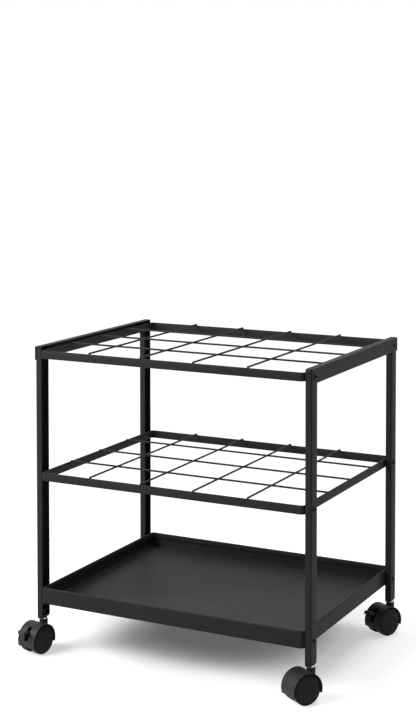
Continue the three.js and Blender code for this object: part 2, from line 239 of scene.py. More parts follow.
def powder_coat(name, colour, gloss_range, specular, peel_height):
    """Satin powder coat: a slow orange peel, a fine grain on it, and a slight drift of tone."""
    material = bpy.data.materials.new(name)
    material.use_nodes = True
    tree = material.node_tree
    shader = tree.nodes["Principled BSDF"]
    shader.inputs["Specular IOR Level"].default_value = specular
    tree.links.new(tinted(tree, noise(tree, 14, 3), colour, 0.95, 1.06), shader.inputs["Base Color"])
    tree.links.new(spread(tree, noise(tree, 45, 3), *gloss_range), shader.inputs["Roughness"])
    peel = bumped(tree, noise(tree, 850, 1), peel_height)
    grain = bumped(tree, noise(tree, 3800, 2), peel_height * 0.3, peel)
    tree.links.new(grain, shader.inputs["Normal"])
    return material


frame_coat = powder_coat("satin_black_coat", coat_colour, (0.50, 0.54), 0.08, 0.018 * MM)


def add_piece(name, bm, material, sharp_angle=sharp_degrees):
    """Makes a piece of a bmesh, its faces pointing out, smooth but for its sharp edges."""
    bmesh.ops.remove_doubles(bm, verts=bm.verts, dist=1e-7)
    bmesh.ops.recalc_face_normals(bm, faces=bm.faces)
    mesh = bpy.data.meshes.new(name)
    bm.to_mesh(mesh)
    bm.free()
    mesh.shade_smooth()
    mesh.set_sharp_from_angle(angle=math.radians(sharp_angle))
    mesh.materials.append(material)
    piece = bpy.data.objects.new(name, mesh)
    scene.collection.objects.link(piece)
    return piece


def stands_for(piece, body, slot, *nodes):
    """Fixes a piece to its body and hides the nodes that it shows; the slot is not used."""
    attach(piece, body)
    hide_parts(*nodes)


def rounded_box_profile(width, height, radius, steps=3):
    """A closed outline of a rectangle with round corners, from (0, 0) to (width, height)."""
    points = []
    centres = [(width - radius, radius, -90), (width - radius, height - radius, 0),
               (radius, height - radius, 90), (radius, radius, 180)]
    for cx, cy, start in centres:
        for step in range(steps + 1):
            angle = math.radians(start + 90 * step / steps)
            points.append((cx + radius * math.cos(angle), cy + radius * math.sin(angle)))
    return points


def corner_ring(half_x, half_y, radius, inset, z):
    """Points round a rectangle with round corners, drawn in by the inset."""
    hx, hy = half_x - inset, half_y - inset
    r = max(radius - inset, least_corner_radius)
    centres = [(hx - r, -hy + r, -90), (hx - r, hy - r, 0),
               (-hx + r, hy - r, 90), (-hx + r, -hy + r, 180)]
    ring = []
    for cx, cy, start in centres:
        for step in range(corner_steps + 1):
            angle = math.radians(start + 90 * step / corner_steps)
            ring.append((cx + r * math.cos(angle), cy + r * math.sin(angle), z))
    return ring


def join_rings(bm, rings, closed_section):
    """Walls between successive rings of the same number of points, each ring closed."""
    made = [[bm.verts.new(p) for p in ring] for ring in rings]
    count = len(made)
    for i in range(count if closed_section else count - 1):
        low, high = made[i], made[(i + 1) % count]
        for j in range(len(low)):
            k = (j + 1) % len(low)
            bm.faces.new((low[j], low[k], high[k], high[j]))
    return made


def make_tier_bar(node):
    low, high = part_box(node)
    bm = bmesh.new()
    profile = rounded_box_profile(bar_thickness, high.z - low.z, bar_edge_radius)
    rings = [corner_ring(high.x, high.y, tier_corner_radius, inset, low.z + z)
             for inset, z in profile]
    join_rings(bm, rings, closed_section=True)
    piece = add_piece(f"{node}_bar", bm, frame_coat)
    stands_for(piece, "root", "frame_coat", node)


for tier in ("top", "middle"):
    make_tier_bar(f"{tier}_tier_frame")


# Wires
# 3.4 mm steel wires are pressed into each other and spot-welded at every crossing, and their ends
# are welded to the bars: the front-back wires lie over the left-right ones.
wire_sides = 20
wire_sink = 0.05 * MM
crossing_bead = (1.9 * MM, 1.9 * MM, 1.5 * MM)
end_bead = (2.1 * MM, 2.1 * MM, 0.9 * MM)


class Tree:
    """A geometry node tree with named inputs, whose nodes are added and linked by short calls."""

    def __init__(self, name, inputs):
        self.tree = bpy.data.node_groups.new(name, "GeometryNodeTree")
        face = self.tree.interface
        face.new_socket("Geometry", in_out="INPUT", socket_type="NodeSocketGeometry")
        for label, kind in inputs:
            face.new_socket(label, in_out="INPUT", socket_type=kind)
        face.new_socket("Geometry", in_out="OUTPUT", socket_type="NodeSocketGeometry")
        self.start = self.tree.nodes.new("NodeGroupInput")
        self.end = self.tree.nodes.new("NodeGroupOutput")

    def given(self, label):
        return self.start.outputs[label]

    def add(self, kind, inputs=None, **settings):
        """Adds a node, with its settings and its inputs, each a value or another node's output."""
        node = self.tree.nodes.new(kind)
        for key, value in settings.items():
            setattr(node, key, value)
        for key, value in (inputs or {}).items():
            self.feed(node.inputs[key], value)
        return node

    def feed(self, socket, value):
        if isinstance(value, bpy.types.NodeSocket):
            self.tree.links.new(value, socket)
        else:
            socket.default_value = value

    def maths(self, operation, a, b=0.0):
        return self.add("ShaderNodeMath", {0: a, 1: b}, operation=operation).outputs[0]

    def vector(self, x=0.0, y=0.0, z=0.0):
        return self.add("ShaderNodeCombineXYZ", {"X": x, "Y": y, "Z": z}).outputs[0]

    def finish(self, shapes, material):
        """Joins the shapes, makes their instances real and gives them the material."""
        join = self.add("GeometryNodeJoinGeometry")
        for shape in shapes:
            self.tree.links.new(shape, join.inputs[0])
        real = self.add("GeometryNodeRealizeInstances", {"Geometry": join.outputs[0]})
        values = {"Geometry": real.outputs[0], "Material": material}
        done = self.add("GeometryNodeSetMaterial", values)
        self.tree.links.new(done.outputs[0], self.end.inputs[0])


def grown(name, tree, values, start=None):
    """The plain mesh that a tree makes with these inputs, from nothing or from a starting mesh."""
    mesh = start or bpy.data.meshes.new(name)
    holder = bpy.data.objects.new(f"{name}_source", mesh)
    scene.collection.objects.link(holder)
    modifier = holder.modifiers.new("made", "NODES")
    modifier.node_group = tree.tree
    for item in tree.tree.interface.items_tree:
        if item.in_out == "INPUT" and item.name in values:
            modifier[item.identifier] = values[item.name]
    holder.update_tag()
    seen = holder.evaluated_get(bpy.context.evaluated_depsgraph_get())
    result = bpy.data.meshes.new_from_object(seen)
    bpy.data.objects.remove(holder)
    result.name = name
    result.shade_smooth()
    result.set_sharp_from_angle(angle=math.radians(sharp_degrees))
    piece = bpy.data.objects.new(name, result)
    scene.collection.objects.link(piece)
    return piece


def wire_tree():
    names = ["Width", "Depth", "Wire radius", "Cross height", "Long height", "Cross length",
             "Long length"]
    inputs = [(n, "NodeSocketFloat") for n in names]
    inputs += [("Columns", "NodeSocketInt"), ("Rows", "NodeSocketInt")]
    inputs += [("Crossing bead", "NodeSocketVector"), ("End bead", "NodeSocketVector")]
    inputs += [("Bar top", "NodeSocketFloat"), ("Material", "NodeSocketMaterial")]
    t = Tree("welded_wire_grid", inputs)
    shapes = []
    pitch_x = t.maths("DIVIDE", t.given("Width"), t.given("Columns"))
    pitch_y = t.maths("DIVIDE", t.given("Depth"), t.given("Rows"))
    first_x = t.maths("MULTIPLY_ADD", t.given("Width"), -0.5)
    t.feed(first_x.node.inputs[2], pitch_x)
    first_y = t.maths("MULTIPLY_ADD", t.given("Depth"), -0.5)
    t.feed(first_y.node.inputs[2], pitch_y)
    long_count = t.maths("SUBTRACT", t.given("Columns"), 1.0)
    cross_count = t.maths("SUBTRACT", t.given("Rows"), 1.0)
    unit_bead = t.add("GeometryNodeMeshIcoSphere", {"Radius": 1.0, "Subdivisions": 3}).outputs[0]

    def row_of(count, start, offset):
        values = {"Count": count, "Start Location": start, "Offset": offset}
        return t.add("GeometryNodeMeshLine", values).outputs[0]

    def put(points, form, turn, size):
        values = {"Points": points, "Instance": form, "Rotation": turn, "Scale": size}
        return t.add("GeometryNodeInstanceOnPoints", values).outputs[0]

    def rod(length):
        values = {"Vertices": wire_sides, "Radius": t.given("Wire radius"), "Depth": length}
        return t.add("GeometryNodeMeshCylinder", values, fill_type="NGON").outputs[0]

    full = (1.0, 1.0, 1.0)
    long_step = t.vector(x=pitch_x)
    cross_step = t.vector(y=pitch_y)
    long_row = row_of(long_count, t.vector(x=first_x, z=t.given("Long height")), long_step)
    cross_row = row_of(cross_count, t.vector(y=first_y, z=t.given("Cross height")), cross_step)
    shapes.append(put(long_row, rod(t.given("Long length")), (math.pi / 2, 0, 0), full))
    shapes.append(put(cross_row, rod(t.given("Cross length")), (0, math.pi / 2, 0), full))
    height_sum = t.maths("ADD", t.given("Long height"), t.given("Cross height"))
    bead_height = t.maths("MULTIPLY", height_sum, 0.5)
    bead_row = row_of(long_count, t.vector(x=first_x, y=first_y, z=bead_height), long_step)
    crossing = put(bead_row, unit_bead, (0, 0, 0), t.given("Crossing bead"))
    crossings = t.add("GeometryNodeRealizeInstances", {"Geometry": crossing}).outputs[0]
    lines = row_of(cross_count, (0, 0, 0), cross_step)
    shapes.append(put(lines, crossings, (0, 0, 0), full))
    half_bar = bar_thickness / 2
    for side in (-0.5, 0.5):
        inwards = -math.copysign(half_bar, side)
        end_y = t.maths("MULTIPLY_ADD", t.given("Depth"), side)
        end_y.node.inputs[2].default_value = inwards
        end_x = t.maths("MULTIPLY_ADD", t.given("Width"), side)
        end_x.node.inputs[2].default_value = inwards
        ends = row_of(long_count, t.vector(x=first_x, y=end_y, z=t.given("Bar top")), long_step)
        shapes.append(put(ends, unit_bead, (0, 0, 0), t.given("End bead")))
        ends = row_of(cross_count, t.vector(x=end_x, y=first_y, z=t.given("Bar top")), cross_step)
        shapes.append(put(ends, unit_bead, (0, 0, 0), t.given("End bead")))
    t.finish(shapes, t.given("Material"))
    return t


def make_wires(tier, tree):
    bar_low, bar_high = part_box(f"{tier}_tier_frame")
    long_nodes = [n for n in frame["nodes"] if n.startswith(f"{tier}_long_wire_")]
    cross_nodes = [n for n in frame["nodes"] if n.startswith(f"{tier}_cross_wire_")]
    long_low, long_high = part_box(long_nodes[0])
    cross_low, cross_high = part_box(cross_nodes[0])
    wire_radius = (long_high.x - long_low.x) / 2
    values = {
        "Width": bar_high.x - bar_low.x,
        "Depth": bar_high.y - bar_low.y,
        "Columns": len(long_nodes) + 1,
        "Rows": len(cross_nodes) + 1,
        "Wire radius": wire_radius,
        "Long height": wire_radius + bar_high.z - wire_sink,
        "Cross height": (cross_low.z + cross_high.z) / 2,
        "Long length": long_high.y - long_low.y,
        "Cross length": cross_high.x - cross_low.x,
        "Crossing bead": crossing_bead,
        "End bead": end_bead,
        "Bar top": bar_high.z,
        "Material": frame_coat,
    }
    piece = grown(f"{tier}_wires", tree, values)
    stands_for(piece, "root", "frame_coat", *long_nodes, *cross_nodes)


wires = wire_tree()
for tier in ("top", "middle"):
    make_wires(tier, wires)


# Tray
# One 1.5 mm sheet, folded up on four sides with round corners. The wall tops are hemmed inwards,
# and its coat is a little smoother than the frame's.
sheet = 1.5 * MM
tray_bend = 2.2 * MM
tray_inner_bend = 1.0 * MM
hem_thickness = 4.0 * MM
hem_drop = 9.0 * MM
arc_steps = 6
tray_coat = powder_coat("tray_coat", coat_colour, (0.46, 0.50), 0.07, 0.012 * MM)


def arc(centre, radius, start, end, steps=arc_steps):
    """Points of an arc, its angles in degrees."""
    points = []
    for step in range(steps + 1):
        angle = math.radians(start + (end - start) * step / steps)
        points.append((centre[0] + radius * math.cos(angle), centre[1] + radius * math.sin(angle)))
    return points


def make_tray():
    low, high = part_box("tray")
    bottom, lip = low.z, high.z
    hem_radius = hem_thickness / 2
    floor_z = bottom + sheet
    hem_end = lip - hem_drop
    fold_radius = hem_radius - sheet
    profile = arc((tray_bend, bottom + tray_bend), tray_bend, 270, 180)
    profile += arc((hem_radius, lip - hem_radius), hem_radius, 180, 0, 2 * arc_steps)
    profile += [(hem_thickness, hem_end), (hem_thickness - sheet, hem_end)]
    profile += arc((hem_radius, lip - hem_radius), fold_radius, 0, 180)
    profile += arc((sheet + tray_inner_bend, floor_z + tray_inner_bend), tray_inner_bend, 180, 270)
    bm = bmesh.new()
    rings = [corner_ring(high.x, high.y, tier_corner_radius, inset, z) for inset, z in profile]
    made = join_rings(bm, rings, closed_section=False)
    bm.faces.new(list(reversed(made[0])))
    bm.faces.new(made[-1])
    piece = add_piece("tray_pan", bm, tray_coat)
    stands_for(piece, "root", "tray_coat", "tray")


make_tray()


# Posts
# Each post is a channel folded from 1.5 mm sheet, its web outwards and its flanges against the
# tiers. A plate with a long nut is welded into its foot for the caster's stem.
post_sheet = 1.5 * MM
post_bend = 2.0 * MM
post_inner_bend = 0.6 * MM
foot_chamfer = 3.0 * MM
foot_plate_thickness = 5.8 * MM
foot_nut_radius = 4.7 * MM
foot_nut_height = 8.6 * MM
plate_back = 0.4 * MM
plate_lift = 0.2 * MM
cut_edge = 0.25 * MM
bend_steps = 3


def soften(piece, width):
    """A small live bevel on a piece's sharp edges."""
    bevel = piece.modifiers.new("softened_edges", "BEVEL")
    bevel.width = width
    bevel.segments = 2
    bevel.limit_method = "ANGLE"
    bevel.angle_limit = math.radians(40)


def extrude_outline(bm, outline, place):
    """A prism of an outline; place turns an outline point and 0 or 1 into a point in space."""
    ends = [[bm.verts.new(place(p, end)) for p in outline] for end in (0, 1)]
    count = len(outline)
    for i in range(count):
        j = (i + 1) % count
        bm.faces.new((ends[0][i], ends[0][j], ends[1][j], ends[1][i]))
    bm.faces.new(list(reversed(ends[0])))
    bm.faces.new(ends[1])


def lathe(bm, profile, segments, matrix=Matrix.Identity(4)):
    """Turns a profile of (radius, height) points round the Z axis; points at radius 0 close it."""
    rings = []
    for radius, height in profile:
        if radius < 1e-7:
            rings.append([bm.verts.new(matrix @ Vector((0, 0, height)))])
            continue
        ring = []
        for i in range(segments):
            angle = 2 * math.pi * i / segments
            point = Vector((radius * math.cos(angle), radius * math.sin(angle), height))
            ring.append(bm.verts.new(matrix @ point))
        rings.append(ring)
    for low, high in zip(rings, rings[1:]):
        for i in range(segments):
            j = (i + 1) % segments
            corners = [low[i % len(low)], low[j % len(low)], high[j % len(high)], high[i % len(high)]]
            bm.faces.new(list(dict.fromkeys(corners)))


def channel_outline(depth, web):
    """The post's section: depth away from the tier, and half the web to each side."""
    half = web / 2
    inner = depth - post_sheet
    outline = [(0, -half)]
    outline += arc((depth - post_bend, -half + post_bend), post_bend, -90, 0)
    outline += arc((depth - post_bend, half - post_bend), post_bend, 0, 90)
    outline += [(0, half), (0, half - post_sheet)]
    clear = half - post_sheet
    bend_x = inner - post_inner_bend
    outline += arc((bend_x, clear - post_inner_bend), post_inner_bend, 90, 0, bend_steps)
    outline += arc((bend_x, -clear + post_inner_bend), post_inner_bend, 0, -90, bend_steps)
    outline += [(0, -clear)]
    return outline


def make_post(corner):
    node = f"{corner}_post"
    low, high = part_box(node)
    side = 1 if low.x > 0 else -1
    depth, web = high.x - low.x, high.y - low.y
    inner_x = low.x if side > 0 else high.x
    middle_y = (low.y + high.y) / 2
    bm = bmesh.new()

    def place(point, end):
        return (inner_x + side * point[0], middle_y + point[1], high.z if end else low.z)

    extrude_outline(bm, channel_outline(depth, web), place)
    cut_point = Vector((0, high.y - foot_chamfer, low.z))
    cut_normal = Vector((0, 1, -1)).normalized()
    every = list(bm.verts) + list(bm.edges) + list(bm.faces)
    cut = bmesh.ops.bisect_plane(bm, geom=every, plane_co=cut_point, plane_no=cut_normal,
                                 clear_outer=True)
    rim = [e for e in cut["geom_cut"] if isinstance(e, bmesh.types.BMEdge)]
    bmesh.ops.holes_fill(bm, edges=rim)
    plate_half = web / 2 - post_sheet
    plate = [(plate_back, -plate_half), (depth - post_sheet, -plate_half),
             (depth - post_sheet, plate_half), (plate_back, plate_half)]

    def place_plate(point, end):
        z = low.z + plate_lift + end * foot_plate_thickness
        return (inner_x + side * point[0], middle_y + point[1], z)

    extrude_outline(bm, plate, place_plate)
    stem_low, stem_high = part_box(f"{corner}_caster_stem")
    centre = (stem_low + stem_high) / 2
    nut_bottom = low.z + foot_plate_thickness
    nut_top = nut_bottom + foot_nut_height
    nut = [(0, nut_bottom), (foot_nut_radius, nut_bottom),
           (foot_nut_radius, nut_top), (0, nut_top)]
    lathe(bm, nut, 6, Matrix.Translation((centre.x, centre.y, 0)))
    piece = add_piece(f"{corner}_post_channel", bm, frame_coat)
    soften(piece, cut_edge)
    stands_for(piece, "root", "frame_coat", node)


for corner in CORNERS:
    make_post(corner)


# Side rails
# An angle strip on each side: its flat top caps the posts, and its drop covers their upper ends
# and the side bar of the top tier.
rail_sheet = 1.5 * MM
rail_bend = 2.0 * MM


def make_rail(node):
    low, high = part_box(node)
    side = 1 if low.x > 0 else -1
    outer_x = high.x if side > 0 else low.x
    width, drop = high.x - low.x, high.z - low.z
    inner_bend = rail_bend - rail_sheet
    outline = [(width, 0), (width, -rail_sheet)]
    outline += arc((rail_bend, -rail_bend), inner_bend, 90, 180)
    outline += [(rail_sheet, -drop), (0, -drop)]
    outline += arc((rail_bend, -rail_bend), rail_bend, 180, 90)
    bm = bmesh.new()

    def place(point, end):
        return (outer_x - side * point[0], high.y if end else low.y, high.z + point[1])

    extrude_outline(bm, outline, place)
    piece = add_piece(f"{node}_angle", bm, frame_coat)
    soften(piece, cut_edge)
    stands_for(piece, "root", "frame_coat", node)


for side_name in ("left", "right"):
    make_rail(f"{side_name}_rail")


# Bolts
# Three black machine screws hold each post: button heads with a hexagon socket, one through the
# rail and post into the top tier, one into the middle tier and one into the tray.
head_radius = 4.6 * MM
head_height = 2.6 * MM
head_rim = 0.5 * MM
socket_radius = 1.75 * MM
socket_depth = 1.3 * MM
socket_mouth_radius = socket_radius * 1.16
socket_rim_radius = socket_radius * 1.35
mouth_drop = 0.15 * MM
socket_start = 0.35 * MM
shank_radius = 2.4 * MM
dome_steps = 6
head_segments = 48
bolt_colour = (0.005, 0.005, 0.0055)
bolt_specular = 0.18
bolt_grain = 0.006 * MM


def black_steel(name):
    """Blackened steel: a dark oxide skin with a faint rub on it."""
    material = bpy.data.materials.new(name)
    material.use_nodes = True
    tree = material.node_tree
    shader = tree.nodes["Principled BSDF"]
    shader.inputs["Specular IOR Level"].default_value = bolt_specular
    rub = tinted(tree, noise(tree, 260, 3), bolt_colour, 0.7, 1.5)
    tree.links.new(rub, shader.inputs["Base Color"])
    tree.links.new(spread(tree, noise(tree, 420, 2), 0.32, 0.42), shader.inputs["Roughness"])
    tree.links.new(bumped(tree, noise(tree, 2400, 2), bolt_grain), shader.inputs["Normal"])
    return material


bolt_black = black_steel("bolt_black")


def bolt_form():
    """A bolt along Z, its head above the XY plane and a unit shank below, as a source for copies."""
    bm = bmesh.new()
    dome = []
    for step in range(dome_steps + 1):
        share = step / dome_steps
        radius = head_radius + (socket_rim_radius - head_radius) * share
        height = head_rim + (head_height - head_rim) * math.sin(share * math.pi / 2)
        dome.append((radius, height))
    profile = [(shank_radius, -1), (shank_radius, 0), (head_radius, 0)] + dome
    profile.append((socket_mouth_radius, head_height - mouth_drop))
    angles = [2 * math.pi * i / head_segments for i in range(head_segments)]

    def ring_at(height, radius_of):
        return [bm.verts.new((radius_of(a) * math.cos(a), radius_of(a) * math.sin(a), height))
                for a in angles]

    def hexagon(angle):
        return socket_radius / math.cos(angle % (math.pi / 3) - math.pi / 6)

    made = [ring_at(height, lambda angle: radius) for radius, height in profile]
    made += [ring_at(head_height - drop, hexagon) for drop in (socket_start, socket_depth)]
    for low, high in zip(made, made[1:]):
        for i in range(head_segments):
            j = (i + 1) % head_segments
            bm.faces.new((low[i], low[j], high[j], high[i]))
    bm.faces.new(list(reversed(made[0])))
    bm.faces.new(made[-1])
    bmesh.ops.recalc_face_normals(bm, faces=bm.faces)
    mesh = bpy.data.meshes.new("bolt_form")
    bm.to_mesh(mesh)
    bm.free()
    form = bpy.data.objects.new("bolt_form", mesh)
    scene.collection.objects.link(form)
    return form


def bolt_tree():
    """Puts a bolt on each point, its head away from the cart's middle plane."""
    inputs = [("Bolt", "NodeSocketObject"), ("Material", "NodeSocketMaterial")]
    t = Tree("bolts_on_points", inputs)
    place = t.add("GeometryNodeInputPosition").outputs[0]
    x = t.add("ShaderNodeSeparateXYZ", {0: place}).outputs["X"]
    outwards = t.vector(x=t.maths("SIGN", x))
    turn = t.add("FunctionNodeAlignRotationToVector", {"Vector": outwards}, axis="Z").outputs[0]
    form = t.add("GeometryNodeObjectInfo", {"Object": t.given("Bolt")}).outputs["Geometry"]
    values = {"Points": t.given("Geometry"), "Instance": form, "Rotation": turn}
    bolts = t.add("GeometryNodeInstanceOnPoints", values).outputs[0]
    t.finish([bolts], t.given("Material"))
    return t


def make_bolts():
    nodes = [n for n in frame["nodes"] if n.endswith("_bolt")]
    tree = bolt_tree()
    for level in ("top", "middle", "tray"):
        names = [n for n in nodes if n.endswith(f"_{level}_bolt")]
        seats = []
        for name in names:
            low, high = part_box(name)
            outer = high.x if low.x > 0 else low.x
            seat = outer - math.copysign(head_height, outer)
            seats.append((seat, (low.y + high.y) / 2, (low.z + high.z) / 2))
        low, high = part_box(names[0])
        shank = high.x - low.x - head_height
        form = bolt_form()
        for vert in form.data.vertices:
            if vert.co.z < -0.5:
                vert.co.z = -shank
        points = bpy.data.meshes.new(f"{level}_bolt_seats")
        points.from_pydata(seats, [], [])
        piece = grown(f"{level}_bolts", tree, {"Bolt": form, "Material": bolt_black}, points)
        bpy.data.objects.remove(form)
        stands_for(piece, "root", "bolt_black", *names)


make_bolts()


# Caster stems
# A zinc-plated M6 stem with a round collar is screwed into each post's foot. Little but the
# collar is seen, between the foot and the hood.
thread_pitch = 1.0 * MM
thread_depth = 0.35 * MM
collar_radius = 6.8 * MM
collar_round = 0.35 * MM
stem_radius = 3.0 * MM
stem_segments = 40
zinc_colour = (0.60, 0.61, 0.64)
zinc_grain = 0.004 * MM


def bright_zinc(name):
    material = bpy.data.materials.new(name)
    material.use_nodes = True
    tree = material.node_tree
    shader = tree.nodes["Principled BSDF"]
    shader.inputs["Metallic"].default_value = 1.0
    drift = tinted(tree, noise(tree, 320, 3), zinc_colour, 0.85, 1.1)
    tree.links.new(drift, shader.inputs["Base Color"])
    tree.links.new(spread(tree, noise(tree, 600, 2), 0.24, 0.38), shader.inputs["Roughness"])
    tree.links.new(bumped(tree, noise(tree, 2600, 2), zinc_grain), shader.inputs["Normal"])
    return material


zinc = bright_zinc("bright_zinc")


def make_stem(corner):
    node = f"{corner}_caster_stem"
    low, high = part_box(node)
    centre = (low + high) / 2
    hood_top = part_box(f"{corner}_caster_hood")[1].z
    collar_bottom = hood_top + running_gap
    collar_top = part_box(f"{corner}_post")[0].z - running_gap
    collar_edge = collar_radius - collar_round
    profile = [(0, low.z), (stem_radius, low.z), (stem_radius, collar_bottom)]
    profile += [(collar_edge, collar_bottom), (collar_radius, collar_bottom + collar_round)]
    profile += [(collar_radius, collar_top - collar_round), (collar_edge, collar_top)]
    profile.append((stem_radius, collar_top))
    height = collar_top + thread_pitch
    while height < high.z - thread_pitch:
        profile += [(stem_radius, height), (stem_radius - thread_depth, height + thread_pitch / 2)]
        height += thread_pitch
    profile += [(stem_radius, height), (stem_radius - thread_pitch, high.z), (0, high.z)]
    bm = bmesh.new()
    lathe(bm, profile, stem_segments, Matrix.Translation((centre.x, centre.y, 0)))
    piece = add_piece(f"{corner}_stem", bm, zinc)
    stands_for(piece, "root", "zinc_steel", node)


for corner in CORNERS:
    make_stem(corner)


# Caster hoods
# Each hood is moulded in black nylon: a drum-shaped cover over both wheels, a middle web that
# holds the axle, and a boss on top for the stem. Two of them have a slot for a brake lever.
hood_radius = 28.0 * MM
hood_drum_radius = 27.65 * MM
hood_cavity_radius = 26.5 * MM
hood_half_width = 19.2 * MM
hood_band = 1.8 * MM
hood_round = 0.4 * MM
hood_lip = 0.55 * MM
hood_chamfer = 1.4 * MM
hood_rim_drop = 0.05 * MM
web_fillet = 0.8 * MM
web_lap = 1.0 * MM
cavity_ease = 0.02 * MM
web_half = 6.0 * MM
hub_radius = 9.0 * MM
hub_bore_radius = 3.3 * MM
socket_bore_radius = 3.3 * MM
tool_overrun = 5 * MM
sector_overrun = 2 * MM
hood_front_angle = -18
hood_rear_angle = 201
hood_steps = 72
boss_radius = 7.6 * MM
boss_round = 0.6 * MM
lever_slot_half = 4.3 * MM
lever_slot_angles = (122, 177)
lever_slot_inner = 12.5 * MM
lever_pocket_half = 6.4 * MM
lever_pocket_angles = (141, 156)
lever_pocket_inner = 24.0 * MM


def nylon(name, colour, gloss_range, grain_scale, grain_height, specular):
    """Moulded nylon with a spark-eroded grain and a slight unevenness of gloss."""
    material = bpy.data.materials.new(name)
    material.use_nodes = True
    tree = material.node_tree
    shader = tree.nodes["Principled BSDF"]
    shader.inputs["Specular IOR Level"].default_value = specular
    tree.links.new(tinted(tree, noise(tree, 70, 3), colour, 0.85, 1.18), shader.inputs["Base Color"])
    tree.links.new(spread(tree, noise(tree, 160, 3), *gloss_range), shader.inputs["Roughness"])
    tree.links.new(bumped(tree, noise(tree, grain_scale, 2), grain_height), shader.inputs["Normal"])
    return material


hood_nylon = nylon("hood_nylon", (0.0175, 0.0175, 0.0182), (0.44, 0.56), 2300, 0.03 * MM, 0.18)


def caster_place(corner):
    """From a caster's own frame, axle along X at the origin and stem towards +Y, to the cart's."""
    stem = Vector(joints[f"{corner}_swivel"]["pos_m"])
    axle = Vector(joints[f"{corner}_outer_spin"]["pos_m"])
    across = Vector(joints[f"{corner}_outer_spin"]["axis"]).normalized()
    forward = Vector((stem.x - axle.x, stem.y - axle.y, 0)).normalized()
    up = Vector((0, 0, 1))
    turn = Matrix((across, forward, up)).transposed().to_4x4()
    return Matrix.Translation(axle) @ turn


def section_sweep(bm, section, start, end, steps):
    """Sweeps a section of (across, radius) points round the axle, and caps its ends."""
    rings = []
    for step in range(steps + 1):
        angle = math.radians(start + (end - start) * step / steps)
        rings.append([bm.verts.new((x, r * math.cos(angle), r * math.sin(angle))) for x, r in section])
    count = len(section)
    for low, high in zip(rings, rings[1:]):
        for i in range(count):
            j = (i + 1) % count
            bm.faces.new((low[i], low[j], high[j], high[i]))
    bm.faces.new(list(reversed(rings[0])))
    bm.faces.new(rings[-1])


def hood_section():
    """Half of the hood's section from its middle to its edge, then mirrored."""
    edge = hood_half_width
    half = [(0, hood_drum_radius), (edge - hood_band - hood_round, hood_drum_radius)]
    half += [(edge - hood_band, hood_radius - hood_rim_drop)]
    half += [(edge - hood_round, hood_radius)]
    half += arc((edge - hood_round, hood_radius - hood_round), hood_round, 60, 0, 2)
    half += [(edge, hood_radius - hood_lip), (edge - hood_chamfer, hood_cavity_radius)]
    half += [(web_half + web_fillet, hood_cavity_radius)]
    half += arc((web_half + web_fillet, hood_cavity_radius - web_fillet), web_fillet, 120, 180, 3)
    half += [(web_half, hub_radius - web_lap), (0, hub_radius - web_lap)]
    return half + [(-x, r) for x, r in reversed(half[1:-1])]


def object_of(bm, name):
    bmesh.ops.remove_doubles(bm, verts=bm.verts, dist=1e-7)
    bmesh.ops.recalc_face_normals(bm, faces=bm.faces)
    mesh = bpy.data.meshes.new(name)
    bm.to_mesh(mesh)
    bm.free()
    made = bpy.data.objects.new(name, mesh)
    scene.collection.objects.link(made)
    return made


def combine(body, tools):
    """Joins and cuts a body with exact booleans, in order, and returns its final mesh."""
    for tool, operation in tools:
        modifier = body.modifiers.new(operation.lower(), "BOOLEAN")
        modifier.operation = operation
        modifier.solver = "EXACT"
        modifier.object = tool
    seen = body.evaluated_get(bpy.context.evaluated_depsgraph_get())
    mesh = bpy.data.meshes.new_from_object(seen)
    for made in [body] + [tool for tool, _ in tools]:
        bpy.data.objects.remove(made)
    return mesh


def turned_tool(name, profile, segments, matrix):
    bm = bmesh.new()
    lathe(bm, profile, segments, matrix)
    return object_of(bm, name)


def rod_profile(radius, low, high):
    return [(0, low), (radius, low), (radius, high), (0, high)]


def sector_tool(name, half_width, inner, angles):
    bm = bmesh.new()
    outer = hood_radius + sector_overrun
    section = [(-half_width, inner), (-half_width, outer), (half_width, outer), (half_width, inner)]
    section_sweep(bm, section, *angles, 12)
    return object_of(bm, name)


def hood_mesh(braked, stem_distance, boss_top, stem_bottom):
    bm = bmesh.new()
    section_sweep(bm, hood_section(), hood_front_angle, hood_rear_angle, hood_steps)
    body = object_of(bm, "hood_body")
    along_x = Matrix.Rotation(math.pi / 2, 4, "Y")
    at_stem = Matrix.Translation((0, stem_distance, 0))
    ring = [(hub_bore_radius, -web_half), (hub_radius, -web_half), (hub_radius, web_half)]
    ring += [(hub_bore_radius, web_half), (hub_bore_radius, -web_half)]
    hub = turned_tool("hub", ring, 48, along_x)
    boss_profile = [(0, stem_bottom), (boss_radius, stem_bottom)]
    boss_profile += [(boss_radius, boss_top - boss_round)]
    boss_profile += arc((boss_radius - boss_round, boss_top - boss_round), boss_round, 0, 90, 4)
    boss_profile += [(0, boss_top)]
    boss = turned_tool("boss", boss_profile, 48, at_stem)
    tools = [(hub, "UNION"), (boss, "UNION")]
    for side in (-1, 1):
        low, high = sorted((side * web_half, side * (hood_half_width + tool_overrun)))
        cavity = rod_profile(hood_cavity_radius - cavity_ease, low, high)
        tools.append((turned_tool("cavity", cavity, 96, along_x), "DIFFERENCE"))
    socket = rod_profile(socket_bore_radius, stem_bottom - running_gap, boss_top + tool_overrun)
    tools.append((turned_tool("socket", socket, 32, at_stem), "DIFFERENCE"))
    if braked:
        slot = sector_tool("lever_slot", lever_slot_half, lever_slot_inner, lever_slot_angles)
        pocket = sector_tool("lever_pocket", lever_pocket_half, lever_pocket_inner,
                             lever_pocket_angles)
        tools += [(slot, "DIFFERENCE"), (pocket, "DIFFERENCE")]
    return combine(body, tools)


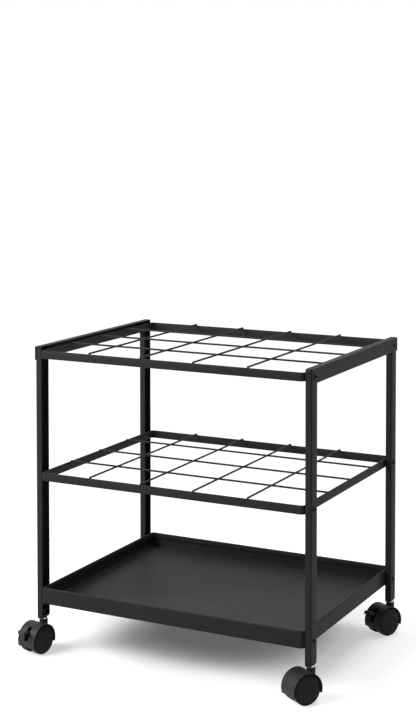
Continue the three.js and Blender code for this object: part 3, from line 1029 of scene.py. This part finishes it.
def make_hoods():
    made = {}
    for corner in CORNERS:
        node = f"{corner}_caster_hood"
        place = caster_place(corner)
        axle_z = place.translation.z
        braked = f"{corner}_brake_lever" in frame["nodes"]
        if braked not in made:
            stem = Vector(joints[f"{corner}_swivel"]["pos_m"])
            distance = (stem.xy - place.translation.xy).length
            boss_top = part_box(node)[1].z - axle_z
            stem_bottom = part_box(f"{corner}_caster_stem")[0].z - axle_z
            made[braked] = hood_mesh(braked, distance, boss_top, stem_bottom)
        mesh = made[braked].copy()
        mesh.name = f"{corner}_hood"
        mesh.transform(place)
        mesh.shade_smooth()
        mesh.set_sharp_from_angle(angle=math.radians(32))
        mesh.materials.clear()
        mesh.materials.append(hood_nylon)
        piece = bpy.data.objects.new(f"{corner}_hood", mesh)
        scene.collection.objects.link(piece)
        stands_for(piece, f"{corner}_caster", "caster_nylon", node)
        axle_materials = frame["nodes"][f"{corner}_caster_axle"].data.materials
        axle_materials.clear()
        axle_materials.append(zinc)


make_hoods()


# Wheels
# Each wheel is a smooth nylon tyre and rim with a cover disc, set in behind a fine groove. The
# disc rises by a bevel to a slightly domed plateau, and the wheel turns on a blind bore.
wheel_radius = 25.0 * MM
wheel_shoulder = 1.8 * MM
rim_drop = 0.9 * MM
disc_radius = 22.2 * MM
groove_width = 0.4 * MM
groove_depth = 0.5 * MM
plateau_foot_radius = 20.4 * MM
plateau_radius = 19.5 * MM
plateau_round = 0.35 * MM
disc_dome = 0.3 * MM
bore_radius = 3.3 * MM
bore_depth = 10.6 * MM
inner_rim_width = 2.2 * MM
wheel_hub_radius = 8 * MM
wheel_hub_recess = 2.4 * MM
groove_chamfer = 0.3 * MM
disc_edge_round = 0.2 * MM
dome_rings = 8
wheel_segments = 96

wheel_nylon = nylon("wheel_nylon", (0.0100, 0.0100, 0.0105), (0.40, 0.48), 1500, 0.012 * MM, 0.1)


def wheel_profile(width):
    """From the bore's blind end round the inner side, the tread and the cover disc."""
    inner_rim = disc_radius - inner_rim_width
    points = [(0, bore_depth), (bore_radius, bore_depth), (bore_radius, 0)]
    points += [(wheel_hub_radius, 0), (wheel_hub_radius, wheel_hub_recess)]
    points += [(inner_rim, wheel_hub_recess), (inner_rim, 0)]
    points += [(wheel_radius - wheel_shoulder, 0)]
    points += arc((wheel_radius - wheel_shoulder, wheel_shoulder), wheel_shoulder, -60, 0, 4)
    rim = width - rim_drop
    points += arc((wheel_radius - wheel_shoulder, rim - wheel_shoulder), wheel_shoulder, 0, 80, 5)
    groove_outer = disc_radius + groove_width
    points += [(groove_outer + groove_chamfer, rim), (groove_outer, rim - groove_chamfer)]
    points += [(groove_outer, rim - groove_depth), (disc_radius, rim - groove_depth)]
    points += [(disc_radius, rim - disc_edge_round), (disc_radius - disc_edge_round, rim)]
    points.append((plateau_foot_radius, rim))
    edge = width - disc_dome
    points += [(plateau_radius + plateau_round * 0.7, edge - plateau_round)]
    points += [(plateau_radius, edge - plateau_round * 0.3), (plateau_radius - plateau_round, edge)]
    for step in range(1, dome_rings + 1):
        radius = (plateau_radius - plateau_round) * (1 - step / dome_rings)
        points.append((radius, edge + disc_dome * (1 - (radius / plateau_radius) ** 2)))
    return points


def make_wheel(corner, side_name, side):
    node = f"{corner}_{side_name}_wheel"
    place = caster_place(corner)
    inner_face = web_half + running_gap
    width = hood_half_width - running_gap - inner_face
    bm = bmesh.new()
    turn = Matrix.Rotation(side * math.pi / 2, 4, "Y")
    shift = Matrix.Translation((side * inner_face, 0, 0))
    lathe(bm, wheel_profile(width), wheel_segments, place @ shift @ turn)
    piece = add_piece(f"{corner}_{side_name}_wheel_and_disc", bm, wheel_nylon, 30)
    stands_for(piece, node, "wheel_nylon", node)


for corner in CORNERS:
    make_wheel(corner, "inner", -1)
    make_wheel(corner, "outer", 1)


# Brake levers
# A nylon tab on a pin in the hood's slot, with a wider pedal tip. Pressed down, it locks the
# caster; it stands lifted here.
lever_half_width = 4.0 * MM
lever_thickness = 3.6 * MM
lever_length = 27.0 * MM
lever_hub_radius = 3.6 * MM
lever_pin_radius = 1.6 * MM
lever_lip = 2.4 * MM
lever_lift = 20
wing_half_width = 7.5 * MM
wing_start = 16.5 * MM
wing_lap = 2 * MM
wing_swell = 0.2 * MM
lip_thickness = 1.6 * MM
ridge_inset = 0.6 * MM
pin_half_length = 5.7 * MM
hub_steps = 18
lever_edge = 0.35 * MM
grip_ridges = 4
ridge_pitch = 1.7 * MM
ridge_height = 0.35 * MM


def make_lever(corner):
    node = f"{corner}_brake_lever"
    pivot = Vector(joints[f"{corner}_brake"]["pos_m"])
    place = caster_place(corner)
    lift = Matrix.Rotation(-math.radians(lever_lift), 4, "X")
    place.translation = pivot
    half = lever_thickness / 2
    outline = []
    start = math.asin(half / lever_hub_radius)
    for step in range(hub_steps + 1):
        angle = math.pi - start - (2 * math.pi - 2 * start) * step / hub_steps
        outline.append((lever_hub_radius * math.cos(angle), lever_hub_radius * math.sin(angle)))
    outline += [(-wing_start - wing_lap, -half), (-wing_start - wing_lap, half)]
    wing_half = half + wing_swell
    lip_inner = -lever_length + lip_thickness
    wing = [(-wing_start, -wing_half), (lip_inner, -wing_half)]
    wing += [(lip_inner, -half - lever_lip), (-lever_length, -half - lever_lip)]
    wing += arc((-lever_length + wing_half, 0), wing_half, 180, 90, 5)
    ridge_start = -lever_length + wing_half + ridge_inset
    for ridge in range(grip_ridges):
        y = ridge_start + ridge * ridge_pitch
        wing += [(y, wing_half), (y + ridge_pitch * 0.3, wing_half + ridge_height)]
        wing += [(y + ridge_pitch * 0.6, wing_half + ridge_height)]
        wing += [(y + ridge_pitch * 0.9, wing_half)]
    wing.append((-wing_start, wing_half))
    bm = bmesh.new()

    def placed(half_width):
        def place_side(point, end):
            x = half_width * (1 if end else -1)
            return place @ (lift @ Vector((x, point[0], point[1])))
        return place_side

    extrude_outline(bm, outline, placed(lever_half_width))
    extrude_outline(bm, wing, placed(wing_half_width))
    pin = rod_profile(lever_pin_radius, -pin_half_length, pin_half_length)
    lathe(bm, pin, 24, place @ lift @ Matrix.Rotation(math.pi / 2, 4, "Y"))
    piece = add_piece(f"{corner}_lever", bm, hood_nylon)
    soften(piece, lever_edge)
    stands_for(piece, node, "caster_nylon", node)


for corner in CORNERS:
    if f"{corner}_brake_lever" in frame["nodes"]:
        make_lever(corner)
